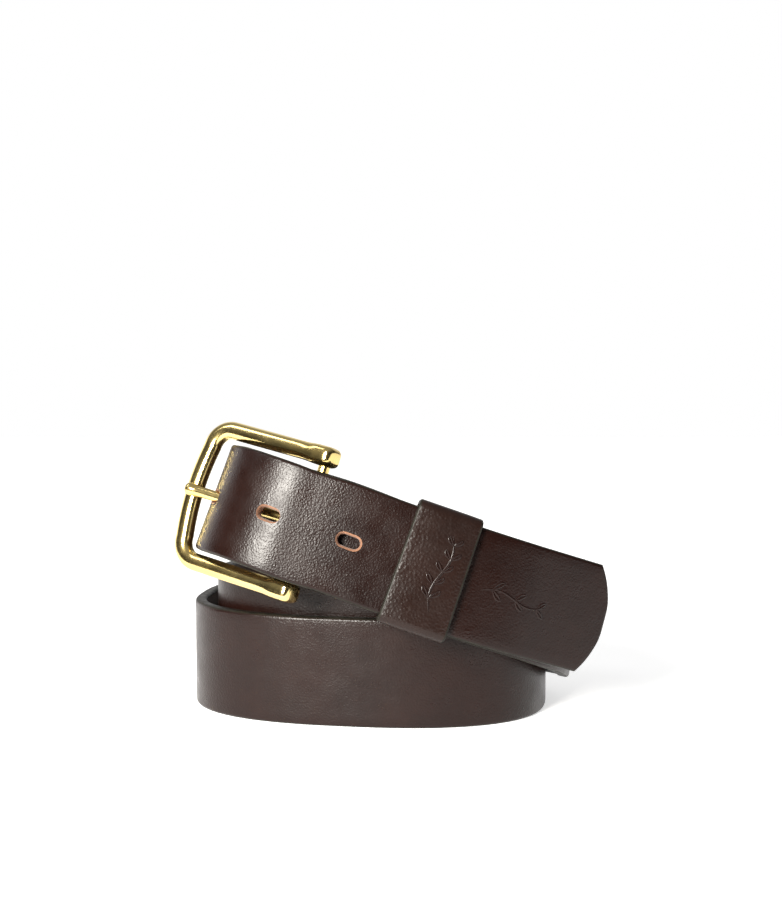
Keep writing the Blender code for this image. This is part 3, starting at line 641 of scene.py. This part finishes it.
# ---------------------------------------------------------------- buckle


def frame_line():
    side, reach, corner = STRAP_WIDTH / 2 + BUCKLE_SIDE_GAP + BAR_WIDTH / 2, BUCKLE_REACH, BUCKLE_CORNER
    start = -LUG_LENGTH / 2
    lug = np.array([0, 0.15, 0.5, 1.1, 2.0, 3.0, 4.0, 5.0, 6.0, 7.0, 8.0, 9.2, 10.6]) * MM
    half = [(start + d, side) for d in lug]
    half += [(x, side) for x in np.linspace(8.5 * MM, reach - corner, 18)[:-1]]
    for i in range(17):
        angle = math.radians(90 - 90 * i / 16)
        half.append((reach - corner + corner * math.cos(angle), side - corner + corner * math.sin(angle)))
    straight = side - corner
    for i in range(1, 17):
        y = straight * (1 - i / 16)
        half.append((reach + BUCKLE_BOW * (1 - (y / straight) ** 2), y))
    return np.array(half + [(x, -y) for x, y in reversed(half[:-1])])


def make_frame():
    line = frame_line()
    heading = np.gradient(line, axis=0)
    heading /= np.linalg.norm(heading, axis=1, keepdims=True)
    end = -LUG_LENGTH / 2
    count = 32
    turns = np.arange(count) * math.tau / count
    c, s = np.cos(turns), np.sin(turns)
    rows = []
    for (x, y), (hx, hy) in zip(line, heading):
        lug = 1 - float(ease((x - 2.6 * MM) / (5.4 * MM))) if abs(y) > STRAP_WIDTH / 2 else 0.0
        cap = math.sqrt(max(0.0, 1 - (1 - min(1.0, (x - end) / (2.2 * MM))) ** 2)) if lug > 0.5 else 1.0
        cap = 0.5 + 0.5 * cap
        top = BUCKLE_RISE + BAR_THICKNESS / 2 + LUG_PROUD * lug
        bottom = (1 - lug) * (BUCKLE_RISE - BAR_THICKNESS / 2) - lug * LUG_BACK
        middle, tall = (top + bottom) / 2, (top - bottom) / 2 * cap
        wide = (BAR_WIDTH / 2 + LUG_PROUD * lug) * cap
        power = 0.88 - 0.32 * lug
        across = np.sign(c) * np.abs(c) ** power * wide
        up = np.sign(s) * np.abs(s) ** power * tall
        rows.append(np.stack([x + hy * across, y - hx * across, middle + up], 1))
    obj = piece("brass_frame", np.concatenate(rows), closed_faces(len(rows), count), [BRASS], sharp=60)
    obj.data.transform(BUCKLE)
    return obj


def make_prong():
    deepest = PRONG_THICKNESS / 2 * PRONG_TIP_WIDTH / PRONG_WIDTH
    x1, z1 = BUCKLE_REACH + BUCKLE_BOW, BUCKLE_RISE + BAR_THICKNESS / 2 + PIECE_GAP + deepest
    eye = HEEL_BAR_RADIUS + PIECE_GAP + PRONG_EYE_WALL
    z0 = eye - PRONG_THICKNESS / 2 - PIECE_GAP
    end = x1 + BAR_WIDTH / 2 + PRONG_OVERHANG
    shank, tip = PRONG_WIDTH / 2, PRONG_TIP_WIDTH / 2
    profile = [(end * i / 24, shank) for i in range(22)]
    for back in (4.9, 4.4, 3.9, 3.4, 2.9, 2.4, 1.9, 1.5, 1.1, 0.75, 0.45, 0.2, 0.06, 0.0):
        swell = float(ease((5.2 - back) / 3.0))
        close = math.sqrt(max(0.0, 1 - max(0.0, (1.9 - back) / 1.9) ** 2))
        profile.append((end - back * MM, (shank + (tip - shank) * swell) * max(0.12, close)))
    count = 24
    turns = np.arange(count) * math.tau / count
    rows = []
    for x, half in profile:
        centre = z0 + (z1 - z0) * x / x1
        deep = half * PRONG_THICKNESS / PRONG_WIDTH
        rows.append(np.stack([np.full(count, x), half * np.cos(turns), centre + deep * np.sin(turns)], 1))
    prong = piece("brass_prong", np.concatenate(rows), closed_faces(len(rows), count), [BRASS], sharp=60)
    prong.data.transform(BUCKLE)
    upright = BUCKLE @ Matrix.Rotation(math.pi / 2, 4, "X")
    half, soft = PRONG_EYE_WIDTH / 2, 0.7 * MM
    rim = [(-half, eye - soft), (-half + 0.2 * MM, eye - 0.2 * MM), (-half + soft, eye)]
    combine(prong, [ring_tool(rim, upright)], "UNION")
    bore = HEEL_BAR_RADIUS + PIECE_GAP
    combine(prong, [ring_tool([(-2 * half, bore), (-half, bore)], upright)], "DIFFERENCE")
    smooth(prong, 40)
    return prong


def ring_tool(half_profile, placed, count=36):
    """A solid of revolution, the same on both sides of its middle: (place on the axis, radius) points."""
    levels = half_profile + [(-z, r) for z, r in reversed(half_profile)]
    made = piece("tool", turned(levels, count), closed_faces(len(levels), count), [BRASS])
    made.matrix_world = placed
    return made


# ---------------------------------------------------------------- the pieces


def dress(name, finish):
    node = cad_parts[name]
    node.data.materials.clear()
    node.data.materials.append(finish)
    smooth(node, 35)


strap = make_strap()
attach(strap, "strap_body")
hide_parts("strap")

keeper = make_keeper()
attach(keeper, "keeper_body")
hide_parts("keeper_loop")

buckle = make_frame()
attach(buckle, "buckle_body")
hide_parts("buckle_frame")

prong = make_prong()
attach(prong, "prong_body")
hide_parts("prong")

dress("heel_bar", BRASS)
dress("keeper_staple", wire_steel())
for i in range(1, 5):
    dress(f"screw_post_{i}", SCREW_BRASS)
    dress(f"binding_screw_{i}", SCREW_BRASS)


def on_keeper(along, across, out):
    height = PITCH + STRAP_THICKNESS / 2 + KEEPER_FIT + KEEPER_THICKNESS
    crown = KEEPER_CROWN * (1 - (along / (KEEPER_WIDTH / 2)) ** 2)
    return MAIN.on(KEEPER_CENTRE + along, across, height + crown + out)


def on_tip(along, across, out):
    return MAIN.on(MAIN.length - 52 * MM + along, across, STRAP_THICKNESS / 2 + out)


upwards = [np.stack([3.0 * MM - line[:, 1], line[:, 0] - 13 * MM], 1) for line in sprig(26 * MM, 5, 3.6 * MM)]
lengthways = [line + np.array([0, -1 * MM]) for line in sprig(25 * MM, 3, 4.0 * MM)]
ornament("keeper_tooling", upwards, on_keeper, "keeper_body")
ornament("tip_tooling", lengthways, on_tip, "strap_body")


# ---------------------------------------------------------------- studio


def area_light(name, place, towards, wide, power, tall, colour=(1, 1, 1)):
    light = bpy.data.lights.new(name, "AREA")
    light.energy, light.color = power, colour
    light.shape, light.size, light.size_y = "RECTANGLE", wide, tall
    obj = bpy.data.objects.new(name, light)
    bpy.context.scene.collection.objects.link(obj)
    obj.location = place
    obj.rotation_euler = (Vector(towards) - Vector(place)).to_track_quat("-Z", "Y").to_euler()


def studio():
    scene = bpy.context.scene
    scene.view_settings.view_transform = "Standard"
    camera = bpy.data.cameras.new("camera")
    camera.sensor_fit, camera.sensor_width, camera.lens = "AUTO", 36.0, CAMERA_LENS
    view = bpy.data.objects.new("camera", camera)
    scene.collection.objects.link(view)
    view.location = (ORIGIN[0] + CAMERA_RIGHT, CAMERA_FRONT, CAMERA_HEIGHT)
    view.rotation_euler = (math.radians(90 - CAMERA_TILT), 0, 0)
    scene.camera = view

    scene.world = surroundings()
    corners = [(-1.5, -0.3, 0), (1.5, -0.3, 0), (1.5, 1.2, 0), (-1.5, 1.2, 0)]
    floor = piece("floor", corners, [(0, 1, 2, 3)], [floor_finish()])
    area_light("key_softbox", (-0.58, -1.00, 0.46), (-0.03, -0.03, 0.06), 0.42, 42, 0.44, (1, 0.97, 0.90))
    area_light("left_strip", (-0.75, -0.15, 0.85), (-0.03, -0.03, 0.07), 0.12, 1.2, 0.5)
    area_light("left_card", (-0.75, 0.5, 0.15), (-0.03, -0.03, 0.07), 0.5, 1.1, 0.5)


def surroundings():
    """White behind for the eye; for the light it gives, dark in front and bright at the back."""
    world = bpy.data.worlds.new("studio")
    world.use_nodes = True
    tree = world.node_tree
    seen = tree.nodes["Background"]
    seen.inputs["Color"].default_value = (1, 1, 1, 1)
    seen.inputs["Strength"].default_value = 1.0
    given = tree.nodes.new("ShaderNodeBackground")
    given.inputs["Color"].default_value = (1, 1, 1, 1)
    where = tree.nodes.new("ShaderNodeTexCoord")
    apart = tree.nodes.new("ShaderNodeSeparateXYZ")
    overhead = tree.nodes.new("ShaderNodeMapRange")
    behind = tree.nodes.new("ShaderNodeMapRange")
    amount = tree.nodes.new("ShaderNodeMath")
    amount.operation = "ADD"
    for node, numbers in ((overhead, (0.25, 0.9, 0.04, 0.34)), (behind, (0.5, 0.85, 0.0, 0.85))):
        for key, number in zip(("From Min", "From Max", "To Min", "To Max"), numbers):
            node.inputs[key].default_value = number
    path = tree.nodes.new("ShaderNodeLightPath")
    either = tree.nodes.new("ShaderNodeMixShader")
    tree.links.new(where.outputs["Generated"], apart.inputs["Vector"])
    tree.links.new(apart.outputs["Z"], overhead.inputs["Value"])
    tree.links.new(apart.outputs["Y"], behind.inputs["Value"])
    tree.links.new(overhead.outputs["Result"], amount.inputs[0])
    tree.links.new(behind.outputs["Result"], amount.inputs[1])
    tree.links.new(amount.outputs["Value"], given.inputs["Strength"])
    tree.links.new(path.outputs["Is Camera Ray"], either.inputs["Fac"])
    tree.links.new(given.outputs["Background"], either.inputs[1])
    tree.links.new(seen.outputs["Background"], either.inputs[2])
    tree.links.new(either.outputs["Shader"], tree.nodes["World Output"].inputs["Surface"])
    return world


def floor_finish():
    m = Nodes("paper_sweep")
    white = m.ramp(m.noise(8.0, 3.0), (0.3, (0.93, 0.93, 0.93)), (0.7, (0.95, 0.95, 0.95)))
    m.link(white, m.surface.inputs["Base Color"])
    m.link(m.bump(m.noise(900.0, 2.0), 0.00002, 0.2), m.surface.inputs["Normal"])
    m.set(Roughness=0.9, Emission_Color=(1, 1, 1, 1), Emission_Strength=0.6)
    return m.material


studio()
